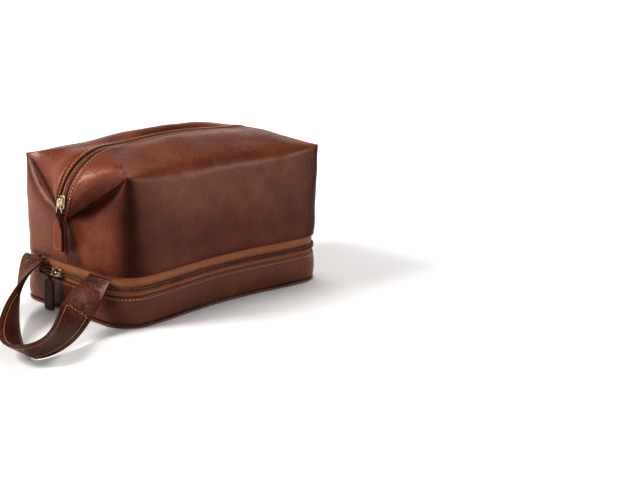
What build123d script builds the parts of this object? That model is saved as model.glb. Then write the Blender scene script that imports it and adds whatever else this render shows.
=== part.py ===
"""Leather toiletry bag with a zip-round bottom tray, a domed zip-top compartment and a carrying loop.

Millimetres. X runs along the bag's length, with the carrying loop and both zip sliders at the -X end.
-Y is the front, +Z is up. The origin is the middle of the flat base.
"""
from build123d import *
from math import cos, sin, pi, radians, sqrt
import os

# ---------------------------------------------------------------- driving sizes
length = 250.0            # base, end to end
width = 148.0             # base, front to back, measured at the corners
corner_radius = 26.0      # vertical corners, seen from above
side_pinch = 7.0          # how far each long side draws in at mid-length
leather = 2.0             # wall leather with its lining paper
lining = 0.6              # woven lining
board = 1.6               # stiffening board
board_gap = 0.2           # board edge to the walls
base_leather = 1.6        # bottom panel
base_inset = 0.4          # bottom panel inside the tray wall's face
piping = 3.0              # height of the round welt along the base edge
piping_out = 1.2          # how far it stands out
piping_lift = 0.3         # underside above the surface the bag stands on
piping_seat = 0.1         # piping to the tray wall above it

tray_height = 28.0        # top edge of the tray's leather wall
zip_shown_low = 6.0       # from there up to the line where the tray zip's coils meet
zip_shown_high = 11.0     # from that line up to the upper bag's seam
wall_height = 81.0        # from the seam up to where the long walls turn over
end_wall_drop = 9.0       # the end walls stop this much lower, behind the folded ends
end_taper = 5.5           # each end leans in this much up to the top of the walls
side_taper = 3.5          # and each long side this much
top_pinch = 3.0           # long sides draw in this much at the top of the walls
seam_welt = 0.6           # the seam's edge stands this much proud
seam_welt_height = 1.2

shoulder_rise = 3.0       # outer edge of the top panels, above the walls
crown_rise = 14.6         # leather edge along the zip, above that, where it turns down
dome_rise = 3.4           # and this much more in the middle
end_arc_radius = 53.6     # turn of the leather along the zip, down over each end
end_bulge = 7.6           # the zip stands out this far past the base at each end
ear_radius = 8.0          # the same turn at the corners
ear_set_back = 0.9        # corner turn inside the wall's face
ear_side_gap = 0.4        # folded end to the inside of the long wall
zip_end_drop = 2.0        # lowest point of the folded end under the turn's centre
panel_leather = 2.4       # top panels with lining
zip_window = 5.5          # leather edge to the middle of the top zip

tape = 0.6                # zip tape
tape_hidden = 10.5        # top zip's tape sewn under the leather
tape_seam = 6.0           # tray zip's tape sewn behind the tray wall
coil_height = 2.2         # nylon coil, off the tape
coil_width = 2.3          # one coil, across
coil_gap = 1.0            # between the two coils, where a slider's wedge runs
coil_overhang = 0.4       # tape edge to coil edge

slider_length = 12.0
slider_width = 9.0
slider_plate = 1.1
slider_clearance = 0.3    # plate to coil, and plate to tape
wedge_length = 4.0
wedge_clearance = 0.2
plate_joint = 0.2         # wedge and bridge sunk into the plates
bridge_width = 3.2
bridge_length = 5.0
bridge_wall = 0.5         # metal left round the ring's bore
ring_wire = 1.4           # square wire of the pull ring
ring_clearance = 0.55     # bore over half the wire
ring_reach = 6.6          # between the ring's two cross bars
ring_width = 6.2          # between the middles of its side bars

tab_width = 12.6
tab_length = 30.0         # leather plate of a pull
tab_leather = 2.4
tab_neck_width = 3.6
tab_neck = 4.2            # height and thickness of the folded neck
tab_corner = 2.0

end_tab_width = 10.6      # leather tongue below each end of the top zip
end_tab_length = 35.0
end_tab_gap = 0.4         # tongue's top edge under the zip's end

top_slider_angle = 11.6   # where the closed top slider stands on its arc, above level
top_ring_angle = 8.0      # the ring hangs from the slider's lower end
lower_slider_y = 16.0     # where the closed tray slider stands
zip_back_y = 46.0         # both tray tapes end here, towards the back
panel_set_back = 1.5      # outer edge of a top panel inside the walls' corner size
panel_gap = 0.6           # between a top panel and the folded ends

strap_width = 27.5
strap_leather = 1.3
strap_lining_leather = 1.0
strap_lining_width = 25.5
strap_root_y = 45.5       # middle of each sewn end, from the bag's centre line
strap_root_drop = 2.2     # hinge line of the sewn ends below the upper seam
strap_root_gap = 1.4      # from the end wall to the strap's hinge line
strap_spans = 24          # straight spans in the modelled loop
strap_lining_from = 3     # span where the sewn-on inner layer starts
strap_lining_to = 20      # span where it stops
hinge_gap = 0.3           # leather to the tray's folding line, each side

# ---------------------------------------------------------------- sizes that follow
half_length = length / 2
half_width = width / 2
split_height = tray_height + zip_shown_low
seam_height = split_height + zip_shown_high
wall_foot = seam_height + seam_welt_height
wall_top = seam_height + wall_height
end_wall_top = wall_top - end_wall_drop
shoulder_height = wall_top + shoulder_rise
crown = shoulder_height + crown_rise
ear_half_length = half_length - end_taper
ear_half_width = half_width - side_taper
ear_y = ear_half_width - leather - ear_side_gap
end_arc_x = half_length + end_bulge - end_arc_radius
end_arc_z = crown - end_arc_radius
zip_end_height = end_arc_z - zip_end_drop
strap_root_height = seam_height - strap_root_drop

ARC_STEPS = 7
FAR = 600.0


# ---------------------------------------------------------------- helpers
def plan(inset, z, half_x=half_length, half_y=half_width, pinch=side_pinch, corner=corner_radius):
    """Rounded rectangle with bowed long sides, seen from above, drawn in by inset."""
    a = half_x - inset
    b = half_y - inset
    r = corner - inset
    d = r * (1 - sqrt(0.5))
    edges = []
    for s in (-1, 1):
        edges.append(ThreePointArc((-s * (a - r), s * b), (0, s * (b - pinch)), (s * (a - r), s * b)))
        edges.append(ThreePointArc((s * (a - r), s * b), (s * (a - d), s * (b - d)), (s * a, s * (b - r))))
        edges.append(Line((s * a, s * (b - r)), (s * a, -s * (b - r))))
        edges.append(ThreePointArc((s * a, -s * (b - r)), (s * (a - d), -s * (b - d)), (s * (a - r), -s * b)))
    return Pos(0, 0, z) * make_face(Wire(edges))


def band(outer, inner, z0, z1):
    """Closed upright band between two insets."""
    ring = plan(outer, z0) - plan(inner, z0)
    return extrude(ring, z1 - z0, dir=(0, 0, 1))


def block(x0, x1, y0, y1, z0, z1):
    """Box between two corners."""
    return Pos((x0 + x1) / 2, (y0 + y1) / 2, (z0 + z1) / 2) * Box(x1 - x0, y1 - y0, z1 - z0)


def front_of(shape, y):
    """The part of a shape in front of the plane at y."""
    return shape & block(-FAR, FAR, -FAR, y, -FAR, FAR)


def behind(shape, y):
    """The part of a shape behind the plane at y."""
    return shape & block(-FAR, FAR, y, FAR, -FAR, FAR)


def polygon(points):
    """Flat face through points in space."""
    return make_face(Polyline(points, close=True))


def group(solids):
    """Several separate solids as one node."""
    return Compound(children=[s if isinstance(s, Solid) else s.solid() for s in solids])


def arc_bar(side, r0, r1, y0, y1, a0=0.0, a1=90.0):
    """Bar bent round one end of the bag: radii r0 to r1, y0 to y1, angles from level to upright."""
    points = []
    for r, order in ((r1, 1), (r0, -1)):
        angles = [a0 + (a1 - a0) * k / 2 for k in range(3)][::order]
        xz = [(side * (end_arc_x + r * cos(radians(a))), end_arc_z + r * sin(radians(a))) for a in angles]
        points.append(xz)
    outer, inner = points
    plane = Plane((0, y0, 0), x_dir=(1, 0, 0), z_dir=(0, -1, 0))
    edges = [
        ThreePointArc(*outer),
        Line(outer[-1], inner[0]),
        ThreePointArc(*inner),
        Line(inner[-1], outer[0]),
    ]
    return extrude(plane * make_face(Wire(edges)), y1 - y0, dir=(0, 1, 0))


nodes = {}

# ---------------------------------------------------------------- bottom tray
tray_floor = base_leather + board
nodes["base_panel"] = extrude(plan(base_inset, 0), base_leather, dir=(0, 0, 1))
nodes["base_board"] = extrude(plan(leather + board_gap, base_leather), board, dir=(0, 0, 1))
piping_top = piping_lift + piping
nodes["base_piping"] = band(-piping_out, base_inset, piping_lift, piping_top)
nodes["tray_wall"] = band(0, leather, piping_top + piping_seat, tray_height)
tape_inset = leather
coil_inset = tape_inset - coil_height
tape_foot = tray_height - tape_seam
nodes["tray_lining"] = band(leather, leather + lining, tray_floor, tape_foot - board_gap)

tray_tape_top = split_height - coil_gap / 2 - coil_overhang
tray_coil_top = split_height - coil_gap / 2
tape_band = band(tape_inset, tape_inset + tape, tape_foot, tray_tape_top)
nodes["tray_zip_tape"] = front_of(tape_band, zip_back_y)
coil_band = band(coil_inset, tape_inset, tray_coil_top - coil_width, tray_coil_top)
nodes["tray_zip_coil"] = front_of(coil_band, zip_back_y)
strip = band(0, leather, tray_height, split_height - hinge_gap)
nodes["tray_hinge_strip"] = behind(strip, zip_back_y + 0.5)

# ---------------------------------------------------------------- upper bag
body_tape_foot = split_height + coil_gap / 2 + coil_overhang
body_coil_foot = split_height + coil_gap / 2
tape_band = band(tape_inset, tape_inset + tape, body_tape_foot, seam_height)
nodes["body_zip_tape"] = front_of(tape_band, zip_back_y)
coil_band = band(coil_inset, tape_inset, body_coil_foot, body_coil_foot + coil_width)
nodes["body_zip_coil"] = front_of(coil_band, zip_back_y)
strip = band(0, leather, split_height + hinge_gap, seam_height)
nodes["body_hinge_strip"] = behind(strip, zip_back_y + 0.5)
nodes["seam_welt"] = band(-seam_welt, leather, seam_height, seam_height + seam_welt_height)


def wall_solid(inset):
    """Solid block that the leaning walls enclose, drawn in by inset."""
    low = plan(inset, wall_foot)
    high = plan(inset, wall_top, ear_half_length, ear_half_width, top_pinch, ear_radius)
    return loft([low, high], ruled=True)


walls = wall_solid(0) - wall_solid(leather)
inner_walls = wall_solid(leather) - wall_solid(leather + lining)
notch_y = ear_y + ear_side_gap / 2
for side in (-1, 1):
    x_cut = side * (ear_half_length - leather - ear_radius)
    notch = block(min(x_cut, side * FAR), max(x_cut, side * FAR), -notch_y, notch_y, end_wall_top, FAR)
    walls = walls - notch
    inner_walls = inner_walls - notch
nodes["front_wall"] = front_of(walls, 0)
nodes["back_wall"] = behind(walls, 0)
lining_span = block(-FAR, FAR, -FAR, FAR, wall_foot + 2 * board, end_wall_top - tape_seam)
nodes["upper_lining"] = inner_walls & lining_span
divider_inset = leather + tape
nodes["divider_board"] = extrude(plan(divider_inset, wall_foot), board, dir=(0, 0, 1))
nodes["divider_lining"] = extrude(plan(divider_inset, wall_foot - lining), lining, dir=(0, 0, 1))

tape_radius = end_arc_radius - panel_leather - tape
coil_radius = tape_radius + tape
coil_top_radius = coil_radius + coil_height
tape_near = coil_gap / 2 + coil_overhang
tape_far = zip_window + tape_hidden
ear_inset = ear_half_length - ear_set_back - ear_radius - end_arc_x


def end_section(side, y, t, top_drop=0.0, bottom_drop=panel_leather):
    """Strip where the plane at y cuts a folded end; t is 0 at the zip and 1 at the corner.

    Its two faces lie top_drop and bottom_drop under the leather's outer face.
    """
    r_out = end_arc_radius * (1 - t) + ear_radius * t
    x_c = end_arc_x + ear_inset * t
    z_top = crown * (1 - t) + shoulder_height * t
    z_low = zip_end_height * (1 - t) + (end_wall_top + ear_side_gap) * t
    z_c = z_top - r_out
    faces = []
    for drop in (top_drop, bottom_drop):
        r = r_out - drop
        line = [(end_arc_x - panel_gap / 2, z_top - drop)]
        for k in range(ARC_STEPS + 1):
            a = pi / 2 * (1 - k / ARC_STEPS)
            line.append((x_c + r * cos(a), z_c + r * sin(a)))
        line.append((x_c + r, z_low))
        faces.append(line)
    outer, inner = faces
    return polygon([(side * x, y, z) for x, z in outer + inner[::-1]])


def end_top(side):
    """Front and back halves of the leather folded over one end, resting on the end wall's outer face."""
    halves = []
    end_wall = wall_solid(0) & block(-FAR, FAR, -FAR, FAR, 0, end_wall_top)
    for s in (-1, 1):
        near = end_section(side, s * zip_window, 0.0)
        far = end_section(side, s * ear_y, 1.0)
        halves.append(loft([near, far], ruled=True) - end_wall)
    return group(halves)


nodes["left_end_top"] = end_top(-1)
nodes["right_end_top"] = end_top(1)

end_tapes = []
end_coils = []
for side in (-1, 1):
    for s in (-1, 1):
        t0, t1 = sorted((s * tape_near, s * zip_window))
        c0, c1 = sorted((s * coil_gap / 2, s * (coil_gap / 2 + coil_width)))
        shown = arc_bar(side, tape_radius, coil_radius, t0, t1)
        sewn_share = tape_hidden / (ear_y - zip_window)
        near = end_section(side, s * zip_window, 0.0, panel_leather, panel_leather + tape)
        far = end_section(side, s * tape_far, sewn_share, panel_leather, panel_leather + tape)
        end_tapes.append(shown + loft([near, far], ruled=True))
        end_coils.append(arc_bar(side, coil_radius, coil_top_radius, c0, c1))
nodes["top_zip_end_tapes"] = group(end_tapes)
nodes["top_zip_end_coils"] = group(end_coils)

for name, side in (("left_zip_end_tab", -1), ("right_zip_end_tab", 1)):
    x_in = end_arc_x + tape_radius
    tongue = block(x_in, x_in + tab_leather, -end_tab_width / 2, end_tab_width / 2,
                   end_arc_z - end_tab_gap - end_tab_length, end_arc_z - end_tab_gap)
    tongue = fillet(tongue.edges().filter_by(Axis.X).group_by(Axis.Z)[0], 2 * tab_corner)
    nodes[name] = tongue if side > 0 else mirror(tongue, Plane.YZ)


# ---------------------------------------------------------------- opening top panels
def zip_line(x):
    """Height of the leather's edge along the top zip."""
    return crown + dome_rise * (1 - (x / end_arc_x) ** 2)


def panel_strip(y0, y1, rise0, rise1, drop0, drop1):
    """Ruled strip along the top: from y0 to y1, between two depths under the panel's outer face."""
    reach = end_arc_x - 1.5 * panel_gap
    sections = []
    for k in range(-3, 4):
        x = reach * k / 3
        z_in = zip_line(x)
        z0 = shoulder_height + (z_in - shoulder_height) * rise0
        z1 = shoulder_height + (z_in - shoulder_height) * rise1
        corners = [(y0, z0 - drop0), (y1, z1 - drop0), (y1, z1 - drop1), (y0, z0 - drop1)]
        sections.append(polygon([(x, y, z) for y, z in corners]))
    return loft(sections, ruled=True)


panel_edge = ear_half_width - panel_set_back
tape_rise = (panel_edge - tape_far) / (panel_edge - zip_window)
tape_drop = panel_leather + tape
coil_drop = panel_leather - coil_height
coil_out = coil_gap / 2 + coil_width
for name, s in (("front", -1), ("back", 1)):
    top_panel = panel_strip(s * panel_edge, s * zip_window, 0, 1, 0, panel_leather)
    zip_tape = panel_strip(s * tape_far, s * tape_near, tape_rise, 1, panel_leather, tape_drop)
    zip_coil = panel_strip(s * coil_out, s * coil_gap / 2, 1, 1, coil_drop, panel_leather)
    nodes[name + "_top_panel"] = top_panel
    nodes[name + "_zip_tape"] = zip_tape
    nodes[name + "_zip_coil"] = zip_coil

# ---------------------------------------------------------------- zip sliders and pulls
ring_bore = ring_wire / 2 + ring_clearance
plate_out = coil_top_radius + slider_clearance
plate_in = tape_radius - slider_clearance
ring_offset = slider_plate - plate_joint + ring_bore + bridge_wall


def ring_frame():
    """Square-wire ring in the YZ plane: its upper bar on the Y axis, its lower bar ring_reach below."""
    outer = Box(ring_wire, ring_width + ring_wire, ring_reach + ring_wire)
    inner = Box(3 * ring_wire, ring_width - ring_wire, ring_reach - ring_wire)
    frame = Pos(0, 0, -ring_reach / 2) * (outer - inner)
    return frame


def pull_tab():
    """Leather pull hanging from the Y axis: a folded neck with a bore, then a flat plate."""
    neck = block(-tab_neck / 2, tab_neck / 2, -tab_neck_width / 2, tab_neck_width / 2, -tab_neck, 0)
    neck = neck + Rot(90, 0, 0) * Cylinder(tab_neck / 2, tab_neck_width)
    z_top = -tab_neck + tab_leather / 2
    plate = block(-tab_leather / 2, tab_leather / 2, -tab_width / 2, tab_width / 2, z_top - tab_length, z_top)
    plate = fillet(plate.edges().filter_by(Axis.X), tab_corner)
    window = block(-tab_neck, tab_neck, -FAR, -tab_neck_width / 2, -2 * ring_bore, FAR)
    bore = Rot(90, 0, 0) * Cylinder(ring_bore, tab_width * 2)
    return neck + plate - bore - window - mirror(window, Plane.XZ)


def bridge(x_in):
    """Arch over a slider's outer plate, with a bore along Y for the ring."""
    x_out = x_in - 2 * (ring_bore + bridge_wall)
    arch = block(x_out, x_in, -bridge_width / 2, bridge_width / 2, -bridge_length / 2, bridge_length / 2)
    bore = Pos((x_out + x_in) / 2, 0, 0) * Rot(90, 0, 0) * Cylinder(ring_bore, 3 * bridge_width)
    return arch - bore


half_turn = slider_length / 2 / coil_radius * 180 / pi
half_wedge = wedge_length / 2 / coil_radius * 180 / pi
a0 = top_slider_angle - half_turn
a1 = top_slider_angle + half_turn
plates = arc_bar(-1, plate_out, plate_out + slider_plate, -slider_width / 2, slider_width / 2, a0, a1)
plates = plates + arc_bar(-1, plate_in - slider_plate, plate_in, -slider_width / 2, slider_width / 2, a0, a1)
wedge_half = coil_gap / 2 - wedge_clearance
wedge = arc_bar(-1, plate_in - plate_joint, plate_out + plate_joint, -wedge_half, wedge_half,
                top_slider_angle - half_wedge, top_slider_angle + half_wedge)
arch = Rot(0, top_ring_angle, 0) * bridge(-plate_out - slider_plate + plate_joint)
nodes["top_slider"] = plates + wedge + Pos(-end_arc_x, 0, end_arc_z) * arch

hang_radius = plate_out + ring_offset
top_ring = (-end_arc_x - hang_radius * cos(radians(top_ring_angle)), 0.0,
            end_arc_z + hang_radius * sin(radians(top_ring_angle)))
nodes["top_pull_ring"] = Pos(*top_ring) * ring_frame()
top_tab = (top_ring[0], 0.0, top_ring[2] - ring_reach)
nodes["top_pull_tab"] = Pos(*top_tab) * pull_tab()

end_x = half_length - coil_inset
lower_out = end_x + slider_clearance
lower_in = half_length - tape_inset - tape - slider_clearance
slider = block(-lower_out - slider_plate, -lower_out, -slider_length / 2, slider_length / 2,
               -slider_width / 2, slider_width / 2)
slider = slider + block(-lower_in, -lower_in + slider_plate, -slider_length / 2, slider_length / 2,
                        -slider_width / 2, slider_width / 2)
slider = slider + block(-lower_out - plate_joint, -lower_in + plate_joint, -wedge_length / 2, wedge_length / 2,
                        -wedge_half, wedge_half)
slider = slider + bridge(-lower_out - slider_plate + plate_joint)
nodes["lower_slider"] = Pos(0, lower_slider_y, split_height) * slider
lower_ring = (-lower_out - ring_offset, lower_slider_y, split_height)
nodes["lower_pull_ring"] = Pos(*lower_ring) * Rot(0, 90, 0) * ring_frame()
lower_tab = (lower_ring[0] - ring_reach, lower_slider_y, lower_ring[2])
nodes["lower_pull_tab"] = Pos(*lower_tab) * pull_tab()

# ---------------------------------------------------------------- carrying loop
root_x = -half_length - strap_root_gap
loop_controls = [
    Vector(root_x, -strap_root_y, strap_root_height),
    Vector(root_x - 62.5, -strap_root_y, strap_root_height - 51.5),
    Vector(root_x - 45.8, -113.8, 49.2),
    Vector(root_x - 240.5, -150, -27.7),
    Vector(root_x - 14.1, strap_root_y, strap_root_height - 25.2),
    Vector(root_x, strap_root_y, strap_root_height),
]
loop_roll = (134.6, -25.8, -5.2)  # degrees the strap rolls on to its edge, in one, two and three waves


def loop_point(s):
    """Quintic Bezier curve through the loop's control points, with its tangent."""
    level = list(loop_controls)
    tangent = None
    while len(level) > 1:
        if len(level) == 2:
            tangent = (level[1] - level[0]).normalized()
        level = [a * (1 - s) + b * s for a, b in zip(level, level[1:])]
    return level[0], tangent


def loop_section(s, across, near, far):
    """Rectangle across the strap: its width, and its faces' distances from the middle line."""
    point, tangent = loop_point(s)
    side = Vector(0, 0, 1).cross(tangent).normalized()
    down = tangent.cross(side) * -1
    roll = sum(radians(turn) * sin(waves * pi * s) for waves, turn in enumerate(loop_roll, 1))
    wide = side * cos(roll) + down * sin(roll)
    thick = tangent.cross(wide)
    corners = [(-1, near), (1, near), (1, far), (-1, far)]
    return polygon([tuple(point + wide * (u * across / 2) + thick * v) for u, v in corners])


def strap(first, last, across, near, far):
    """Flat strap along the loop from one span to another."""
    stations = [k / strap_spans for k in range(first, last + 1)]
    return loft([loop_section(s, across, near, far) for s in stations], ruled=True)


nodes["carry_strap"] = strap(0, strap_spans, strap_width, 0, strap_leather)
inner_layer = strap(strap_lining_from, strap_lining_to, strap_lining_width, -strap_lining_leather, 0)
nodes["carry_strap_lining"] = inner_layer

os.makedirs("parts", exist_ok=True)
for name, shape in nodes.items():
    export_step(shape, "parts/" + name + ".step")
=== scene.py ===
"""Chestnut leather toiletry bag: soft zip-top compartment, zip-round bottom tray and a carrying loop.

Lengths in the shapes below are millimetres in the bag's own frame, and become metres when a mesh is made.
X runs along the bag with the loop and both sliders at -X, -Y is the front and +Z is up.
"""
import bpy
import bmesh
import numpy as np
from mathutils import Matrix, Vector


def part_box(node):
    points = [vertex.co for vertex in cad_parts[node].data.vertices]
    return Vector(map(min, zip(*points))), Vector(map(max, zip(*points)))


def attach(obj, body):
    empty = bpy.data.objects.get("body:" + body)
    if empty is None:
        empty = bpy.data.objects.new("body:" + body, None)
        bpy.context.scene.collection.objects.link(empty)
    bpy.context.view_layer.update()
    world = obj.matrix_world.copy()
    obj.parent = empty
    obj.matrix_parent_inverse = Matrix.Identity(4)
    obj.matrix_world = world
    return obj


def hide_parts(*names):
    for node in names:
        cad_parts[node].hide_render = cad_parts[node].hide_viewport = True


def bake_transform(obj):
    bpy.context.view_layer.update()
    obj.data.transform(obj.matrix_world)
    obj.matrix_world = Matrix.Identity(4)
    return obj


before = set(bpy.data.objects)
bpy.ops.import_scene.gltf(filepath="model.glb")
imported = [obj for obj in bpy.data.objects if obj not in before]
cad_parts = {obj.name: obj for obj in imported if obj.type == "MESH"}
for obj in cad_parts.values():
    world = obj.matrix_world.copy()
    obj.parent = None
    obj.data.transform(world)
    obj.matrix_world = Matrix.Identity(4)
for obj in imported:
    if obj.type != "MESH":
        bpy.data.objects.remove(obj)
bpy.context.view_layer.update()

MM = 0.001
FRONT, BACK = -1.0, 1.0


def span(node):
    """Lowest and highest corner of a CAD node, in millimetres."""
    low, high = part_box(node)
    return np.array(low) / MM, np.array(high) / MM


# ---------- sizes read from the frame
tray_low, tray_high = span("tray_wall")
HALF_LENGTH, HALF_WIDTH, TRAY_TOP = tray_high
PIPING_TOP = tray_low[2]
SEAM = span("seam_welt")[0][2]
SPLIT = (span("tray_zip_coil")[1][2] + span("body_zip_coil")[0][2]) / 2
panel_low, panel_high = span("front_top_panel")
end_high = span("right_end_top")[1]
ARC_X = panel_high[0] + 0.9  # the zip turns down over each end from here
ARC_RADIUS = end_high[0] - ARC_X
CROWN = end_high[2]
ARC_Z = CROWN - ARC_RADIUS
DOME = panel_high[2] - CROWN
WINDOW = -panel_high[1]  # leather edge to the middle of the top zip
CORNER = 26.0  # vertical corners at the base, seen from above
PINCH, TOP_PINCH = 7.0, 3.0  # draw-in of each long side at the base and at the shoulder
EAR = np.array([119.3, 70.3, 131.8])  # tip of each pinched corner
ZIP_END = np.array([130.0, 4.5, 88.0])  # leather beside the end of the top zip
LEATHER = 1.6
CLOTH = 0.5  # thickness of the zip tapes and the upper lining
HINGE_TURN = 0.6725  # the tray's zip stops here, behind each end
TAPE_DROP = 2.45  # the top zip's tape lies this far under the leather's face
TAPE_INSET = 2.05  # the tray zip's tape lies this far inside the plan
COIL_WIDTH, COIL_PITCH = 2.5, 1.45  # one row of turns, and the room for each turn
COIL_OFFSET = COIL_WIDTH / 2  # middle of each row from the line where the two rows meet

# pitch, length and thread of each kind of stitch
ZIP_STITCH = (3.2, 2.3, 0.85)
TRAY_STITCH = (3.2, 2.3, 0.8)
TAPE_STITCH = (1.9, 1.7, 0.4)
PULL_STITCH = (2.3, 1.7, 0.5)
STRAP_STITCH = (3.0, 2.3, 0.6)

# mirror images of a quarter, and half a turn about the upright axis
FLIP_X, FLIP_Y = np.array([-1, 1, 1]), np.array([1, -1, 1])
HALF_TURN = FLIP_X * FLIP_Y


# ---------- mesh making
def spline_weights(t, rows):
    """Clamped cubic B-spline weights at t from 0 to 1: a row for each t, a column for each control row."""
    knots = np.concatenate([np.zeros(3), np.linspace(0, 1, rows - 2), np.ones(3)])
    t = np.clip(np.asarray(t, float), 0, 1 - 1e-9)[:, None]
    w = ((knots[:-1] <= t) & (t < knots[1:])).astype(float)
    for k in (1, 2, 3):
        n = len(knots) - 1 - k
        left = knots[k:k + n] - knots[:n]
        right = knots[k + 1:k + 1 + n] - knots[1:1 + n]
        a = np.where(left > 0, (t - knots[:n]) / np.where(left > 0, left, 1), 0)
        b = np.where(right > 0, (knots[k + 1:k + 1 + n] - t) / np.where(right > 0, right, 1), 0)
        w = a * w[:, :n] + b * w[:, 1:n + 1]
    return w


def spline(points, t):
    """Points on the cubic B-spline that follows a list of control points."""
    return spline_weights(t, len(points)) @ np.asarray(points, float)


def unit(v):
    return v / np.maximum(np.linalg.norm(v, axis=-1, keepdims=True), 1e-12)


def grid(points, wrap_u=False, wrap_v=False):
    """(vertices, faces) of a surface given as points on a u by v grid; it faces along du x dv."""
    nu, nv = points.shape[:2]
    i = np.arange(nu if wrap_u else nu - 1)[:, None]
    j = np.arange(nv if wrap_v else nv - 1)[None, :]
    i2, j2 = (i + 1) % nu, (j + 1) % nv
    faces = np.stack([i * nv + j, i2 * nv + j, i2 * nv + j2, i * nv + j2], -1)
    return points.reshape(-1, 3), faces.reshape(-1, 4)


def joined(parts):
    """Several (vertices, faces) pairs as one."""
    counts = np.cumsum([0] + [len(v) for v, _ in parts])
    faces = [f + n for (_, f), n in zip(parts, counts)]
    return np.concatenate([v for v, _ in parts]), np.concatenate(faces)


def repeated(template, centres, along, across, out):
    """Copies of a small template at the centres, its x, y and z laid along the directions given there."""
    v, f = template
    axes = np.stack([along, across, out], 1)
    points = centres[:, None, :] + np.einsum("kc,ncd->nkd", v, axes)
    faces = f[None] + (np.arange(len(centres)) * len(v))[:, None, None]
    return points.reshape(-1, 3), faces.reshape(-1, 4)


def normals(points):
    """Outward direction at each point of a u by v grid."""
    return unit(np.cross(np.gradient(points, axis=0), np.gradient(points, axis=1)))


def hump(x, middle, width):
    """Smooth bump of height one round a middle value."""
    return np.exp(-((x - middle) / width) ** 2)


def smooth_step(x):
    x = np.clip(x, 0, 1)
    return x * x * (3 - 2 * x)


def piece(name, shape, material, body=None, stands_for=(),
          thick=0.0, weld=False, uv=None, outward=False):
    """A finished object from (vertices, faces), with its place in its mesh."""
    v, f = shape
    mesh = bpy.data.meshes.new(name)
    mesh.from_pydata((v * MM).tolist(), [], f.tolist())
    if uv is not None:
        layer = mesh.uv_layers.new(name="cloth")
        corner = np.empty(len(mesh.loops), int)
        mesh.loops.foreach_get("vertex_index", corner)
        layer.data.foreach_set("uv", (uv * MM)[corner].astype(np.float32).ravel())
    if weld or outward:
        bm = bmesh.new()
        bm.from_mesh(mesh)
        bmesh.ops.remove_doubles(bm, verts=bm.verts, dist=1e-6)
        bmesh.ops.dissolve_degenerate(bm, edges=bm.edges, dist=1e-7)
        if outward:
            bmesh.ops.recalc_face_normals(bm, faces=bm.faces)
        bm.to_mesh(mesh)
        bm.free()
    mesh.polygons.foreach_set("use_smooth", np.ones(len(mesh.polygons), bool))
    mesh.materials.append(material)
    obj = bpy.data.objects.new(name, mesh)
    bpy.context.collection.objects.link(obj)
    if thick:
        wall = obj.modifiers.new("thickness", "SOLIDIFY")
        wall.thickness = thick * MM
        wall.offset = -1
        wall.use_even_offset = False
    if body:
        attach(obj, body)
    if stands_for:
        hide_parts(*stands_for)
    return obj


def flat_layout(along, across):
    """Flat cloth layout of a grid, from its rows' distances along and its columns' distances across."""
    return np.stack(np.meshgrid(along, across, indexing="ij"), -1).reshape(-1, 2)


def measured(points, axis=0):
    """Distance from the first point along a path, or along one direction of a grid."""
    steps = np.linalg.norm(np.diff(points, axis=axis), axis=-1)
    return np.concatenate([0 * steps.take([0], axis), np.cumsum(steps, axis)], axis)


def spaced(path, out, pitch, start, stop):
    """Evenly spaced points on a path: (points, directions along it, outward directions)."""
    d = measured(path)
    n = max(2, int(round((d[-1] - start - stop) / pitch)))
    s = start + (np.arange(n) + 0.5) * (d[-1] - start - stop) / n
    beside = 0.3

    def read(values, at):
        return np.stack([np.interp(at, d, values[:, k]) for k in range(3)], 1)

    return read(path, s), unit(read(path, s + beside) - read(path, s - beside)), unit(read(out, s))


# ---------- small shapes
def rounded(count, power):
    """Points round a square with soft corners: cosine and sine, each raised to a power under one."""
    a = np.linspace(0, 2 * np.pi, count, endpoint=False)
    c, s = np.cos(a), np.sin(a)
    return np.sign(c) * np.abs(c) ** power, np.sign(s) * np.abs(s) ** power


def pillow(size, centre, soft, taper=0.0):
    """Closed block with soft edges, its sections smaller towards both faces; taper narrows its +x end."""
    c, s = rounded(28, soft)
    b = np.linspace(-np.pi / 2, np.pi / 2, 14)
    reach = np.cos(b) ** soft
    z = np.sign(b) * np.abs(np.sin(b)) ** soft
    x = c[:, None] * reach
    y = s[:, None] * reach * (1 - taper * (x + 1) / 2)
    p = np.stack([x * size[0] / 2, y * size[1] / 2, np.broadcast_to(z, x.shape) * size[2] / 2], -1)
    return grid(p + np.array(centre, float), wrap_u=True)


def tube(path, side, width, height, closed=False, power=0.5, count=10):
    """Bar of rounded section along a path: width lies along side, height square to it and to the path."""
    ahead = unit(np.roll(path, -1, 0) - np.roll(path, 1, 0) if closed else np.gradient(path, axis=0))
    side = unit(side - ahead * np.sum(side * ahead, 1, keepdims=True))
    up = np.cross(ahead, side)
    c, s = rounded(count, power)
    w = np.full(len(path), width / 2.0)
    h = np.full(len(path), height / 2.0)
    if not closed:
        w[[0, -1]] = h[[0, -1]] = 1e-4
    spread = side[:, None] * (w[:, None] * c)[..., None] + up[:, None] * (h[:, None] * s)[..., None]
    return grid(path[:, None] + spread, wrap_u=closed, wrap_v=True)


def with_ends(path):
    """A path with its first and last points doubled, so a tube along it gets flat closed ends."""
    return np.concatenate([path[:1], path, path[-1:]])


def thread_template(length, thick):
    """One stitch: a six-sided thread that rises out of the leather and dips back in at both ends."""
    t = np.linspace(-1, 1, 5)
    radius = thick / 2 * np.sqrt(np.clip(1.05 - t ** 4, 0, 1))
    a = np.linspace(0, 2 * np.pi, 6, endpoint=False)
    x = np.broadcast_to((t * length / 2)[:, None], (5, 6))
    y = radius[:, None] * np.cos(a)
    z = radius[:, None] * np.sin(a) * 0.8 + (0.22 - 0.42 * t ** 4)[:, None] * thick
    return grid(np.stack([x, y, z], -1), wrap_v=True)


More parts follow.
